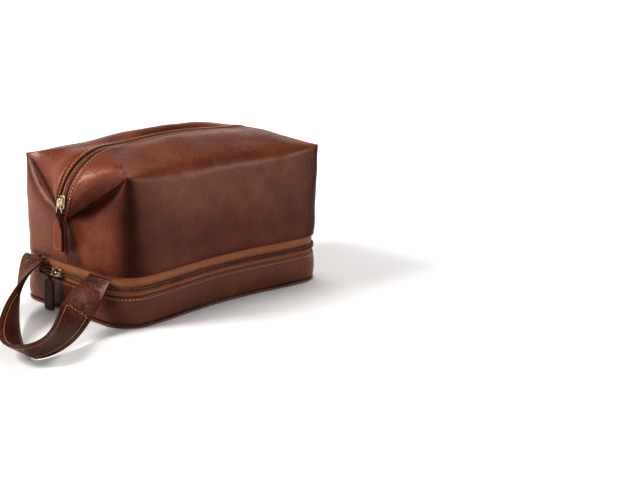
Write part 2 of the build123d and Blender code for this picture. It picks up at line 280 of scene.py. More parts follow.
def stitch_row(path, out, stitch, gap=0.0):
    """Stitches in a line on a surface, with a gap at both ends; stitch is one of the kinds listed above."""
    pitch, length, thick = stitch
    points, along, up = spaced(path, np.broadcast_to(out, path.shape), pitch, gap, gap)
    return repeated(thread_template(length, thick), points, along, np.cross(up, along), up)


# ---------- the bag's plan
def quarter(t, inset, half_x=HALF_LENGTH, half_y=HALF_WIDTH, pinch=PINCH, corner=CORNER):
    """Quarter of the plan: t is 0 at the end's middle, 1 half-way round the corner, 2 at the side's middle.

    A straight end, a circular corner and a side that draws in by pinch times (1 - share squared) squared.
    Gives x, y and the outward direction, with the end towards +x and the long side towards +y.
    """
    a, b, r = half_x - inset, half_y - inset, corner - inset
    turn = r * np.pi / 4
    d = np.where(t < 1, t * (b - r + turn), b - r + turn + (t - 1) * (turn + a - r))
    along_end = np.clip(d, 0, b - r)
    angle = np.clip(d - (b - r), 0, 2 * turn) / r
    along_side = np.clip(d - (b - r) - 2 * turn, 0, a - r)
    x = a - r + r * np.cos(angle) - along_side
    share = (a - r - along_side) / (a - r)
    y = along_end + r * np.sin(angle) - pinch * (1 - share ** 2) ** 2
    return x, y, np.cos(angle), np.sin(angle)


def around(t, inset):
    """The whole plan as a closed line: t runs 0 to 8 from the left end by the front, right end and back."""
    q = np.floor(t / 2).astype(int)
    local = t - 2 * q
    local = np.where(q % 2 == 1, 2 - local, local)
    x, y, nx, ny = quarter(local, inset)
    sx = np.where(np.isin(q % 4, (0, 3)), -1, 1)
    sy = np.where(np.isin(q % 4, (0, 1)), -1, 1)
    return x * sx, y * sy, nx * sx, ny * sy


def ring_band(t, insets, heights):
    """A profile of insets and heights carried round the plan at the places t."""
    x, y, _, _ = around(t[:, None] + 0 * insets[None], insets[None])
    z = np.broadcast_to(heights[None], x.shape)
    return np.stack([x, y, z], -1)


# ---------- the upper bag's leather
def zip_edge(t):
    """Leather's edge at the top zip and the way out there: an arc down each end, a low dome between."""
    a = np.pi / 2 * np.minimum(t, 1)
    x = np.where(t < 1, ARC_X + ARC_RADIUS * np.cos(a), ARC_X * (2 - t))
    lift = DOME * (1 - (np.clip(x, 0, ARC_X) / ARC_X) ** 2) ** 2
    z = ARC_Z + ARC_RADIUS * np.sin(a) + np.where(t < 1, 0, lift)
    out = np.stack([np.cos(a), 0 * a, np.sin(a)], -1)
    return np.stack([x, WINDOW + 0 * x, z], -1), out


def skin_rows(t, crease=1.0, sharp=3.0, full=0.0):
    """Fifteen control rows of a quarter of the leather, from the turned hem at the seam to the zip's edge.

    Below the shoulder each row is the plan drawn in, its corner tightened with height. Round the end the
    sixth to eighth rows run down a valley from the corner's tip to the zip's end; along the side they make
    the shoulder. crease scales the valley's depth, sharp is the radius of the corner's tip and full is
    extra swell in the top panel.
    """
    tau, sigma = np.minimum(t, 1), np.maximum(t - 1, 0)
    bow = np.sin(np.pi * tau)
    ease = 1 - (1 - sigma) ** 3

    def shoulder_plan(at):
        return quarter(at, 0, EAR[0], EAR[1], TOP_PINCH, sharp)[:2]

    shoulder = np.stack([*shoulder_plan(t), EAR[2] + 0 * t + 1.2 * ease], -1)
    tip = np.append(shoulder_plan(np.ones(1)), EAR[2])
    valley = ZIP_END + (tip - ZIP_END) * tau[:, None]
    valley[:, 0] -= 6.5 * crease * np.abs(bow) ** 0.7
    valley[:, 2] += (2.2 * crease - 2.4) * bow
    fold = np.where((t <= 1)[:, None], valley, shoulder)
    edge, out = zip_edge(t)
    reach = edge - fold

    def wall(h, belly):
        """Row at share h of the way from the seam to the fold."""
        z = SEAM + 1.5 + h * (fold[:, 2] - SEAM - 1.5)
        rise = (z - SEAM) / (EAR[2] - SEAM)
        x, y, _, _ = quarter(t, 0, HALF_LENGTH - (HALF_LENGTH - EAR[0]) * rise,
                             HALF_WIDTH - (HALF_WIDTH - EAR[1]) * rise,
                             PINCH - (PINCH - TOP_PINCH) * rise, CORNER - 20 * rise)
        lean_out = 12.5 * rise * (1 - tau ** 2) + 2.5 * bow * np.minimum(1, 2 * rise)
        x = x + np.where(t < 1, lean_out, 0)
        y = y + belly * np.sin(np.pi / 2 * sigma) ** 2
        return np.stack([x, y, z], -1)

    def hem(inset, z):
        x, y, _, _ = quarter(t, inset)
        return np.stack([x, y, SEAM + z + 0 * t], -1)

    def over(share, lift):
        return fold + reach * share[:, None] + lift

    inward = -unit(reach)
    length = np.linalg.norm(reach, axis=1)
    gap = 9.0 * (1 - (1 - sigma) ** 5)
    h_roll = np.where(t < 1, 0.93 - 0.10 * crease * np.abs(bow), 0.93 - 0.36 * ease)
    lip = 4.2 * crease * np.abs(bow) ** 0.7
    lip_out = np.stack([0.45 * lip, 0 * lip, 0.95 * lip], -1)
    return np.stack([
        hem(1.6, 1.6),
        hem(0.6, -0.4),
        hem(-0.7, 0.6),
        wall(0.22 - 0.06 * ease, 1.5),
        wall(0.58 - 0.22 * ease, 3.2),
        wall(h_roll, 3.2),
        fold - np.stack([0 * gap, 0 * gap, gap], -1),
        fold + unit(reach) * gap[:, None],
        over(0.15 + 0.27 * ease, lip_out + out * (2.4 * ease)[:, None]),
        over(0.5 + 0.2 * ease, out * (1.2 * tau + (3.4 + full) * ease + 5.5 * bow)[:, None]),
        over(0.84 + 0.04 * ease, out * (0.8 * tau + (2.0 + 0.8 * full) * ease + 2.6 * bow)[:, None]),
        edge + inward * np.minimum(4.4, 0.6 * length)[:, None] + out * 0.5,
        edge + inward * np.minimum(1.9, 0.3 * length)[:, None] + out * 0.35,
        edge,
        edge - out * 1.7,
    ])


def soft_noise(p, waves, seed):
    """Gentle unevenness: a sum of sine waves of different lengths and directions through space."""
    rng = np.random.default_rng(seed)
    total = np.zeros(p.shape[:-1])
    for length, height in waves:
        direction = unit(rng.normal(size=(3, 3)))
        phase = rng.uniform(0, 2 * np.pi, 3)
        for k in range(3):
            total += height / 3 * np.sin(p @ direction[k] * 2 * np.pi / length + phase[k])
    return total


END_T = 1 - (1 - np.linspace(0, 1, 50)) ** 1.4
SIDE_T = 1 + np.linspace(0, 1, 62)[1:] ** 1.35
QUARTER_T = np.concatenate([END_T, SIDE_T])
SKIN_V = np.linspace(0, 1, 97)

# crease depth, tip radius and top swell at each side's two ends
CREASES = {FRONT: ((2.5, 3.0, 0.0), (1.0, 6.0, 0.0)), BACK: ((1.0, 8.0, 3.6), (0.7, 4.0, 3.6))}


def long_side(first, last, side):
    """Two quarters, given along their first axis, as one long side from one end's middle to the other's."""
    both = np.concatenate([first * HALF_TURN, (last * FLIP_Y)[-2::-1]])
    return both * HALF_TURN if side == BACK else both


def there_and_back(t):
    """The quarters' own places along a whole long side, as a column."""
    return np.concatenate([t, t[-2::-1]])[:, None]


def skin(side, v, t=QUARTER_T):
    """One long side's leather on a grid: along the side, and from the seam up to the zip."""
    first, last = (skin_rows(t, *crease).swapaxes(0, 1) for crease in CREASES[side])
    rows = long_side(first, last, side)
    points = np.einsum("vr,urc->uvc", spline_weights(v, rows.shape[1]), rows)
    calm = smooth_step(v / 0.12) * smooth_step((0.86 - v) / 0.14)
    along = there_and_back(t)
    calm = calm * (1 - hump(along, 1, 0.14) * hump(v, 0.46, 0.14)) * np.clip(along / 0.12, 0, 1)
    ruffle = soft_noise(points, [(95, 1.0), (48, 0.55), (24, 0.22)], 3)
    return points + normals(points) * (ruffle * calm)[..., None]


# ---------- finishes
def graph(name):
    """A new material with its shader."""
    made = bpy.data.materials.new(name)
    made.use_nodes = True
    tree = made.node_tree
    return made, tree, tree.nodes["Principled BSDF"]


def plug(tree, target, inputs):
    """Set a node's inputs: each is a number, a colour or another node's output."""
    for key, value in inputs.items():
        socket = target.inputs[key]
        if isinstance(value, bpy.types.NodeSocket):
            tree.links.new(value, socket)
        else:
            socket.default_value = value


def add(tree, kind, inputs=None, **settings):
    """A new node with its settings and inputs."""
    made = tree.nodes.new("ShaderNode" + kind)
    for key, value in settings.items():
        setattr(made, key, value)
    plug(tree, made, inputs or {})
    return made


def maths(tree, operation, a, b=0.0, c=0.0):
    return add(tree, "Math", {0: a, 1: b, 2: c}, operation=operation).outputs[0]


def times(tree, a, b):
    return maths(tree, "MULTIPLY", a, b)


def ramp(tree, value, stops):
    """Colour ramp from (place, colour) pairs."""
    made = add(tree, "ValToRGB", {"Fac": value})
    band = made.color_ramp
    while len(band.elements) < len(stops):
        band.elements.new(0.5)
    for element, (place, colour) in zip(band.elements, stops):
        element.position = place
        element.color = (*colour, 1)
    return made.outputs["Color"]


def noise(tree, vector, scale, detail, rough=0.5):
    inputs = {"Vector": vector, "Scale": scale, "Detail": detail, "Roughness": rough}
    return add(tree, "TexNoise", inputs).outputs["Fac"]


def pebbles(tree, vector, scale, kind):
    return add(tree, "TexVoronoi", {"Vector": vector, "Scale": scale}, feature=kind).outputs["Distance"]


def mixed(tree, share, first, second, kind="MIX"):
    inputs = {"Fac": share, "Color1": first, "Color2": second}
    return add(tree, "MixRGB", inputs, blend_type=kind).outputs["Color"]


def remap(tree, value, low, high, to_low, to_high):
    inputs = {"Value": value, "From Min": low, "From Max": high, "To Min": to_low, "To Max": to_high}
    return add(tree, "MapRange", inputs).outputs["Result"]


def bump(tree, strength, distance, height, under=None):
    """The surface's direction after a bump, which may lie over another one."""
    inputs = {"Strength": strength, "Distance": distance, "Height": height, **(under or {})}
    return add(tree, "Bump", inputs).outputs["Normal"]


def painted(tree, name):
    """A value stored at each point of a mesh."""
    return add(tree, "Attribute", attribute_name=name).outputs["Fac"]


def leather(name, dark, mid, light, grain, grain_depth, gloss, crease_depth, coat, rub_and_painted_light=None):
    """Aniline leather: cloudy dye, pebbles with darker valleys, long creases, uneven polish, a thin glaze.

    With that colour given, a stored layer lightens the dye towards it, as wear and as painted highlight; the
    stored deep layer is painted shade: it darkens the dye and takes its shine away.
    """
    made, tree, shader = graph(name)
    place = add(tree, "TexCoord").outputs["Object"]
    wander = add(tree, "TexNoise", {"Vector": place, "Scale": grain * 0.35, "Detail": 2.0}).outputs["Color"]
    bent = mixed(tree, 0.0022, place, wander, "ADD")
    cells = pebbles(tree, bent, grain, "SMOOTH_F1")
    big_cells = pebbles(tree, bent, grain * 0.55, "F1")
    fine = noise(tree, place, grain * 2.4, 2.0)
    cloud = noise(tree, place, 14.0, 4.0, 0.6)
    smoky = noise(tree, place, 55.0, 5.0, 0.65)
    stretch = add(tree, "Mapping", {"Vector": place, "Scale": (1.0, 1.0, 2.6)}).outputs["Vector"]
    lines = noise(tree, stretch, 130.0, 6.0, 0.62)
    mottled = maths(tree, "MULTIPLY_ADD", smoky, 0.35, times(tree, cloud, 0.65))
    dye = ramp(tree, mottled, [(0.25, dark), (0.50, mid), (0.75, light)])
    valley = times(tree, maths(tree, "POWER", cells, 2.0), 0.8)
    colour = mixed(tree, valley, dye, (*[c * 0.45 for c in dark], 1))
    specular, glaze = 0.28, coat
    if rub_and_painted_light:
        # stored layer of wear and painted highlight: lightens the dye towards the given light colour
        share = times(tree, painted(tree, "rub_and_painted_light"), maths(tree, "MULTIPLY_ADD", smoky, 0.9, 0.15))
        # painted shade: the stored deep layer darkens the dye towards near black and dulls its shine and
        # glaze
        deep = painted(tree, "deep")
        colour = mixed(tree, deep, mixed(tree, share, colour, (*rub_and_painted_light, 1)), (0.016, 0.0025, 0.0010, 1))
        specular = remap(tree, deep, 0.0, 0.9, 0.28, 0.04)
        glaze = times(tree, specular, coat * 3.0)
    wear = maths(tree, "ADD", smoky, times(tree, cells, 0.35))
    height = maths(tree, "ADD", times(tree, cells, -0.55), times(tree, big_cells, -0.3))
    pebble = bump(tree, grain_depth, 0.4 / grain, maths(tree, "MULTIPLY_ADD", fine, 0.25, height))
    plug(tree, shader, {
        "Base Color": colour,
        "Roughness": remap(tree, wear, 0.35, 1.0, gloss - 0.06, gloss + 0.14),
        "Normal": bump(tree, crease_depth, 0.0009, lines, {"Normal": pebble}),
        "Specular IOR Level": specular,
        "Coat Weight": glaze,
        "Coat Roughness": 0.2,
    })
    return made


def woven(name, dark, light, pitch, depth, twill=True, sheen=0.4):
    """Cloth in its own flat layout: warp and weft waves a thread apart, twill lines across them, and fuzz."""
    made, tree, shader = graph(name)
    flat = add(tree, "UVMap", uv_map="cloth").outputs["UV"]
    turn = 2 * np.pi / (pitch * MM)
    u, v, _ = add(tree, "SeparateXYZ", {"Vector": flat}).outputs
    warp = maths(tree, "SINE", times(tree, u, turn))
    weft = maths(tree, "SINE", times(tree, v, turn))
    weave = maths(tree, "MULTIPLY_ADD", times(tree, warp, weft), 0.25, 0.5)
    if twill:
        rib = maths(tree, "SINE", times(tree, maths(tree, "ADD", u, v), turn * 0.5))
        weave = maths(tree, "MULTIPLY_ADD", rib, 0.22, weave)
    place = add(tree, "TexCoord").outputs["Object"]
    slub = noise(tree, place, 900.0, 3.0, 0.6)
    dirt = noise(tree, place, 35.0, 4.0, 0.6)
    tone = maths(tree, "MULTIPLY_ADD", slub, 0.5, times(tree, weave, 0.55))
    tone = maths(tree, "MULTIPLY_ADD", dirt, 0.3, maths(tree, "SUBTRACT", tone, 0.12))
    plug(tree, shader, {
        "Base Color": ramp(tree, tone, [(0.25, dark), (0.8, light)]),
        "Roughness": 0.75,
        "Normal": bump(tree, depth, 0.0003, maths(tree, "ADD", weave, slub)),
        "Sheen Weight": sheen,
        "Sheen Roughness": 0.4,
    })
    return made


def plain(name, dark, light, scale, rough, depth=0.2, coat=0.0, metal=0.0):
    """A simple finish with cloudy colour, uneven gloss and a fine surface."""
    made, tree, shader = graph(name)
    place = add(tree, "TexCoord").outputs["Object"]
    cloud = noise(tree, place, scale, 5.0, 0.6)
    speck = noise(tree, place, 1500.0, 3.0, 0.6)
    tone = maths(tree, "MULTIPLY_ADD", speck, 0.35, times(tree, cloud, 0.65))
    plug(tree, shader, {
        "Base Color": ramp(tree, tone, [(0.35, dark), (0.65, light)]),
        "Roughness": remap(tree, cloud, 0.3, 0.7, max(0.05, rough - 0.08), rough + 0.1),
        "Normal": bump(tree, depth, 0.0002, speck),
        "Coat Weight": coat,
        "Metallic": metal,
    })
    return made


DARK, MID, LIGHT = (0.075, 0.0130, 0.0035), (0.140, 0.0330, 0.0100), (0.220, 0.0640, 0.0220)
bag_leather = leather("polished_chestnut_leather", DARK, MID, LIGHT, 600.0, 0.85, 0.36, 0.25, 0.18,
                      rub_and_painted_light=(0.26, 0.095, 0.045))
tray_leather = leather("tray_leather", MID, MID, LIGHT, 600.0, 0.7, 0.34, 0.25, 0.28)
pebbled_leather = leather("pebbled_strap_leather", (0.045, 0.012, 0.0055), (0.095, 0.027, 0.011),
                          (0.20, 0.065, 0.030), 330.0, 1.0, 0.38, 0.45, 0.10)
pull_leather = leather("pull_leather", (0.11, 0.026, 0.010), (0.22, 0.062, 0.025), (0.34, 0.115, 0.050),
                       1100.0, 0.3, 0.34, 0.2, 0.12)
dark_pull_leather = leather("dark_pull_leather", (0.035, 0.006, 0.003), (0.065, 0.012, 0.005),
                            (0.11, 0.024, 0.010), 1100.0, 0.3, 0.40, 0.2, 0.03)
edge_paint = plain("burnished_edge", (0.060, 0.012, 0.005), (0.12, 0.030, 0.011), 60.0, 0.45, coat=0.05)
zip_cloth = woven("zip_tape_cloth", (0.150, 0.048, 0.016), (0.420, 0.170, 0.070), 0.55, 0.5)
lining_cloth = woven("lining_cloth", (0.055, 0.040, 0.030), (0.150, 0.115, 0.085), 0.5, 0.35,
                     twill=False, sheen=0.2)
coil_nylon = plain("coil_nylon", (0.110, 0.046, 0.022), (0.240, 0.110, 0.058), 120.0, 0.36, coat=0.15)
beige_thread = plain("beige_thread", (0.42, 0.23, 0.13), (0.72, 0.46, 0.28), 400.0, 0.6, depth=0.5)
antique_metal = plain("antique_brass", (0.32, 0.24, 0.15), (0.72, 0.62, 0.48), 300.0, 0.26,
                      depth=0.12, metal=1.0)
grey_board = plain("grey_board", (0.12, 0.11, 0.10), (0.20, 0.19, 0.17), 90.0, 0.85, depth=0.5)


def float_layer(obj, name, values):
    layer = obj.data.attributes.new(name, "FLOAT", "POINT")
    layer.data.foreach_set("value", values.astype(np.float32).ravel())


# ---------- camera, light and floor
def stand(name, data, place, back, upright=(0, 0, 1)):
    """Put a lamp or the camera in the scene, its back in the direction given."""
    back = unit(np.array(back, float))
    right = unit(np.cross(upright, back))
    m = np.eye(4)
    m[:3] = np.stack([right, np.cross(back, right), back, place], 1)
    obj = bpy.data.objects.new(name, data)
    obj.matrix_world = Matrix(m.tolist())
    bpy.context.collection.objects.link(obj)
    return obj


def lamp(name, place, aim, size, power):
    data = bpy.data.lights.new(name, "AREA")
    data.shape = "RECTANGLE"
    data.size, data.size_y = size
    data.energy = power
    data.color = (1.0, 0.96, 0.91)
    stand(name, data, place, np.subtract(place, aim))


def stage():
    """Round pale floor that turns up at its far rim, large soft lamps, and the camera, in metres."""
    flat, rim, spokes = 3.0, 3.0, 96
    upturn = flat + rim * np.sin(np.linspace(0.05, 1, 14) * np.pi / 2)
    r = np.concatenate([[0.0], np.linspace(0.3, flat, 12), upturn])
    climb = np.clip((r - flat) / rim, 0, 1)
    z = 3.2 * (1 - np.sqrt(np.clip(1 - climb ** 2, 0, 1))) - 0.0002
    a = np.linspace(0, 2 * np.pi, spokes, endpoint=False)[:, None]
    p = np.stack([r * np.cos(a), r * np.sin(a), np.broadcast_to(z, (spokes, len(r)))], -1)
    v, f = grid(p, wrap_u=True)
    pale, tree, shader = graph("pale_floor")
    place = add(tree, "TexCoord").outputs["Object"]
    x, y, _ = add(tree, "SeparateXYZ", {"Vector": place}).outputs
    squares = [times(tree, axis, axis) for axis in (x, y)]
    far = maths(tree, "SQRT", maths(tree, "ADD", *squares))
    pales = [(0.3, (0.69, 0.70, 0.72)), (0.7, (0.71, 0.72, 0.74))]
    plug(tree, shader, {
        "Base Color": ramp(tree, noise(tree, place, 3.0, 2.0), pales),
        "Roughness": 0.9,
        "Specular IOR Level": 0.1,
        "Emission Color": (1.0, 1.0, 1.0, 1),
        "Emission Strength": remap(tree, far, 0.2, 1.4, 0.12, 0.85),
    })
    floor = piece("studio_floor", (v / MM, f[:, ::-1]), pale, weld=True)

    lamp("left_softbox", (-1.25, 0.60, 1.25), (0, 0, 0.08), (0.6, 0.6), 33)
    lamp("right_softbox", (1.45, -1.5, 0.95), (0, 0, 0.1), (0.6, 0.45), 7.5)
    lamp("top_softbox", (0.35, 0.25, 1.85), (0, 0, 0.1), (0.8, 0.8), 20)
    scene = bpy.context.scene
    scene.world = bpy.data.worlds.new("studio")
    scene.world.use_nodes = True
    tree = scene.world.node_tree
    plug(tree, tree.nodes["Background"], {"Color": (1.0, 0.97, 0.94, 1), "Strength": 0.06})

    data = bpy.data.cameras.new("camera")
    data.lens = 76.17
    data.sensor_width = 36.0
    scene.camera = stand("camera", data, (-0.8241, -0.9172, 0.3733), (-0.7206, -0.6446, 0.2554),
                         (0.1687, 0.1943, 0.9663))
    scene.view_settings.view_transform = "Standard"
    scene.view_settings.gamma = 0.72
    scene.view_settings.exposure = 0.15


stage()


# ---------- upper bag: leather, lining and stitching
NAMES = {FRONT: "front", BACK: "back"}
SKIN_NODES = {
    FRONT: ("front_wall", "front_top_panel", "left_end_top"),
    BACK: ("back_wall", "back_top_panel", "right_end_top"),
}


def turn_with_mouth(obj):
    """Bake a piece's placement into its mesh."""
    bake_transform(obj)


def paint_wear_highlight_and_shade(obj, side):
    """Store where the leather is rubbed light by wear, where painted highlight lies, and where painted shade
    lies in the crease, the upright corners and the sides' lower part.
    """
    t, v = there_and_back(QUARTER_T), SKIN_V[None]
    fold_arc = np.sin(np.pi * np.clip(t, 0, 1))
    # wear: lighter at the corners' tips, along the shoulders' ridge, and by the hem and the zip's edge
    tip = 0.7 * hump(t, 1, 0.10) * hump(v, 0.53, 0.09)
    ridge = np.where(t < 1, 0, 0.35 * hump(v, 0.50, 0.10))
    edges = 0.3 * hump(v, 0.13, 0.05) + 0.45 * hump(v, 0.93, 0.035)
    # painted highlight on the end's convex flap and on its lower cheek
    swell = fold_arc * (0.75 * hump(v, 0.66, 0.13) + 0.35 * hump(v, 0.22, 0.09))
    # painted highlight: a sheen band along the upper part of each long side
    sheen = 0.55 * smooth_step((t - 1.10) / 0.25) * hump(v, 0.36, 0.085)
    float_layer(obj, "rub_and_painted_light", np.clip(tip + ridge + edges + swell + sheen, 0, 0.85))
    # painted shadow in the crease under the flap, stronger where the crease is deeper
    strength = np.clip([end[0] - 0.6 for end in CREASES[side]], 0.25, 1)
    strength = np.repeat(strength, len(QUARTER_T))[:-1, None]
    groove = 0.9 * hump(v, 0.46, 0.03) + strength * hump(v, 0.375, 0.062)
    groove = np.where(t < 1, groove * smooth_step(fold_arc * 2.0), 0)
    # painted shade down each upright corner, widening towards the seam
    spread = 0.035 + 0.10 * np.clip((0.45 - v) / 0.35, 0, 1)
    corner = 0.75 * hump(t, 1 + 0.3 * spread, spread) * smooth_step((0.50 - v) / 0.08)
    # painted shade on the lower part of each long side
    low = 0.22 * smooth_step((t - 1.0) / 0.3) * smooth_step((0.26 - v) / 0.10)
    float_layer(obj, "deep", np.clip(groove + corner + low, 0, 0.95))


def make_leather(side):
    obj = piece(NAMES[side] + "_leather", grid(skin(side, SKIN_V)), bag_leather, stands_for=SKIN_NODES[side],
                thick=LEATHER)
    paint_wear_highlight_and_shade(obj, side)
    turn_with_mouth(obj)


def make_lining(side):
    """The lining follows the leather, drawn in all round and more behind the pinched corners."""
    t, v = QUARTER_T[QUARTER_T > 0.06], np.linspace(0.10, 0.90, 60)
    p = skin(side, v, t)
    p = (p - normals(p) * (LEATHER + 0.5)) * np.array([0.97, 0.965, 0.96]) + np.array([0, 0, 0.04 * SEAM])
    near_tip = hump(there_and_back(t), 1, 0.22) * hump(v, 0.5, 0.2)
    p = p + unit(np.array([0, 0, 85.0]) - p) * (7 * near_tip)[..., None]
    uv = np.stack([measured(p), measured(p, 1)], -1).reshape(-1, 2)
    cloth = piece(NAMES[side] + "_lining", grid(p), lining_cloth, stands_for=("upper_lining",),
                  thick=CLOTH, uv=uv)
    turn_with_mouth(cloth)


def make_zip_stitching(side):
    rows = skin(side, np.array([0.885, 0.89, 0.895]))
    out = normals(rows)[:, 1]
    thread = piece(NAMES[side] + "_zip_stitching", stitch_row(rows[:, 1] + out * 0.1, out, ZIP_STITCH, 2),
                   beige_thread)
    turn_with_mouth(thread)


for side in (FRONT, BACK):
    make_leather(side)
    make_lining(side)
    make_zip_stitching(side)


# ---------- top zip
def zip_path():
    """Middle line of the top zip's tape, with the direction out of the bag."""
    edge, out = zip_edge(np.linspace(0, 2, 400))
    line = (edge - out * TAPE_DROP) * np.array([1, 0, 1])
    return [np.concatenate([half * FLIP_X, half[-2::-1]]) for half in (line, out)]


def coil_template(height):
    """One turn of a nylon coil: a bent bead lying across the tape, with a bulge at its meeting end."""
    k = np.linspace(0, 1, 6)
    x = 0.12 * COIL_PITCH * np.sin(2 * np.pi * k)
    y = (k - 0.5) * COIL_WIDTH
    z = height * (0.28 + 0.62 * np.sin(np.pi * np.clip(k * 0.86 + 0.10, 0, 1)))
    a = np.linspace(0, 2 * np.pi, 5, endpoint=False)
    r = np.array([0.15, 0.42, 0.44, 0.43, 0.42, 0.12]) * COIL_PITCH
    p = np.stack([
        x[:, None] + r[:, None] * np.cos(a),
        np.broadcast_to(y[:, None], (6, 5)),
        z[:, None] + 0.9 * r[:, None] * np.sin(a),
    ], -1)
    return grid(p[::-1], wrap_v=True)


def coil_row(path, out, half, height, shift, gap):
    """Turns of a coil side by side along a path, all on one side of it; half is that side's sign."""
    points, along, up = spaced(path, out, COIL_PITCH, gap + shift, gap)
    across = unit(np.cross(up, along)) * half
    return repeated(coil_template(height), points + across * COIL_OFFSET, along * half, across, up)


def make_top_zip(side):
    """One half of the top zip: a tape that runs under the leather, and its coil."""
    edge, out = zip_edge(QUARTER_T)
    hidden = -unit(edge - skin_rows(QUARTER_T)[7])
    w = np.array([0.2, 1.4, 3.0, 4.5, 5.5, 6.5, 8.0, 9.5])
    base = np.repeat((edge - out * TAPE_DROP)[:, None], len(w), 1)
    base[..., 1] = np.minimum(w, WINDOW)
    quarter_tape = base + hidden[:, None] * np.maximum(w - WINDOW, 0)[None, :, None]
    both = long_side(quarter_tape, quarter_tape, side)[:, ::-1]
    nodes = {FRONT: ("front_zip_tape", "top_zip_end_tapes"), BACK: ("back_zip_tape",)}[side]
    tape = piece(NAMES[side] + "_top_tape", grid(both), zip_cloth, stands_for=nodes,
                 thick=CLOTH, uv=flat_layout(measured(both[:, 0]), -w))
    turn_with_mouth(tape)
    shape = coil_row(*zip_path(), side, 2.0, 0.35 if side == BACK else 0.0, 1.0)
    nodes = {FRONT: ("front_zip_coil", "top_zip_end_coils"), BACK: ("back_zip_coil",)}[side]
    coil = piece(NAMES[side] + "_top_coil", shape, coil_nylon, stands_for=nodes)
    turn_with_mouth(coil)


for side in (FRONT, BACK):
    make_top_zip(side)


# ---------- bottom tray and its zip
def plan_line(t, inset, z):
    """A level line round the plan, with its outward directions."""
    x, y, nx, ny = around(t, inset)
    return np.stack([x, y, z + 0 * x], -1), np.stack([nx, ny, 0 * nx], -1)


def swept(controls, t, samples):
    """A soft profile, given by control (inset, height) pairs, carried round the plan."""
    profile = spline(controls, np.linspace(0, 1, samples))
    return ring_band(t, profile[:, 0], profile[:, 1])


FULL = np.linspace(0, 8, 481)[:-1]
ZIP_ENDS = (-HINGE_TURN, 4 + HINGE_TURN)
HINGE_SPAN = np.linspace(ZIP_ENDS[1] - 0.03, 8 + ZIP_ENDS[0] + 0.03, 220)


def make_tray_wall():
    """The tray's leather band, turned in over its top and foot, slightly swollen and uneven on its face."""
    bottom, top = PIPING_TOP, TRAY_TOP + 0.25
    controls = [
        (1.9, bottom + 1.0), (1.9, bottom + 0.2), (0.2, bottom + 0.1), (-0.5, bottom + 1.5), (-1.3, 9.0),
        (-1.3, 15.0), (-0.6, 21.0), (0.0, 25.0), (0.15, 27.4), (0.6, top), (1.5, top), (1.9, 27.2),
        (1.95, 25.0), (1.95, 12.0), (1.9, bottom + 1.0),
    ]
    rows = 64
    v, f = grid(swept(controls, FULL, rows), wrap_u=True)
    face = np.sin(np.pi * np.clip((np.arange(rows) - 8) / 24, 0, 1))
    _, out = plan_line(np.repeat(FULL, rows), 0, 0)
    ruffle = soft_noise(v, [(70, 0.5), (33, 0.25)], 11) * np.tile(face, len(FULL))
    piece("tray_leather_wall", (v + out * ruffle[:, None], f), tray_leather, "tray", ("tray_wall",))
    line, out = plan_line(np.linspace(0, 8, 1200), 0, 25.6)
    piece("tray_stitching", stitch_row(line + out * 0.02, out, TRAY_STITCH), beige_thread, "tray")


def cord(name, material, body, node, inset, z, radius_in, radius_up):
    """Closed cord round the plan."""
    a = np.linspace(0, 2 * np.pi, 14, endpoint=False)
    band = ring_band(FULL, inset - radius_in * np.cos(a), z + radius_up * np.sin(a))
    piece(name, grid(band, wrap_u=True, wrap_v=True), material, body, (node,), outward=True)


def make_base():
    """Base leather: a plate sagging to its rim, given as shares of the plan, each at its own level."""
    share = np.array([1e-4, 0.25, 0.5, 0.75, 0.9, 0.97, 1.0, 1.0, 0.97, 0.9, 0.75, 0.5, 0.25, 1e-4])
    level = np.array([0.7, 0.65, 0.5, 0.3, 0.12, 0.0, 0.35, 1.3, 1.6, 1.6, 1.6, 1.6, 1.6, 1.6])
    x, y, _, _ = around(FULL, 0.5)
    z = np.broadcast_to(level, (len(FULL), len(level)))
    p = np.stack([x[:, None] * share, y[:, None] * share, z], -1)
    piece("base_leather", grid(p, wrap_u=True), tray_leather, "tray", ("base_panel",),
          outward=True)


def make_tray_lining():
    girth, depth, rows = 780, 24, 16
    band = swept([(2.3, 22.0), (2.35, 12.0), (2.5, 6.0), (3.4, 3.6), (6.0, 3.4)], FULL, rows)
    uv = flat_layout(np.linspace(0, girth, len(FULL)), np.linspace(0, depth, rows))
    piece("tray_cloth_lining", grid(band, wrap_u=True), lining_cloth, "tray", ("tray_lining",),
          thick=0.4, uv=uv)


def make_hinge():
    """Hinge leather strip behind the tray, with a groove level with the tray zip."""
    controls = [(1.2, 24.5), (0.5, 27.5), (0.2, 30.0), (0.45, 32.5), (1.25, SPLIT), (0.45, 35.6), (0.1, 39.0),
                (0.3, 43.0), (1.2, 46.2)]
    hinge = piece("tray_hinge_leather", grid(swept(controls, HINGE_SPAN, 30)), tray_leather,
                  stands_for=("tray_hinge_strip", "body_hinge_strip"), thick=1.2)
    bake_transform(hinge)


make_tray_wall()
cord("base_piping_cord", tray_leather, "tray", "base_piping", 0.1, 1.55, 1.15, 1.25)
cord("upper_seam_welt", edge_paint, "upper_bag", "seam_welt", 0.7, SEAM + 0.1, 0.85, 0.6)
make_base()
make_tray_lining()
make_hinge()


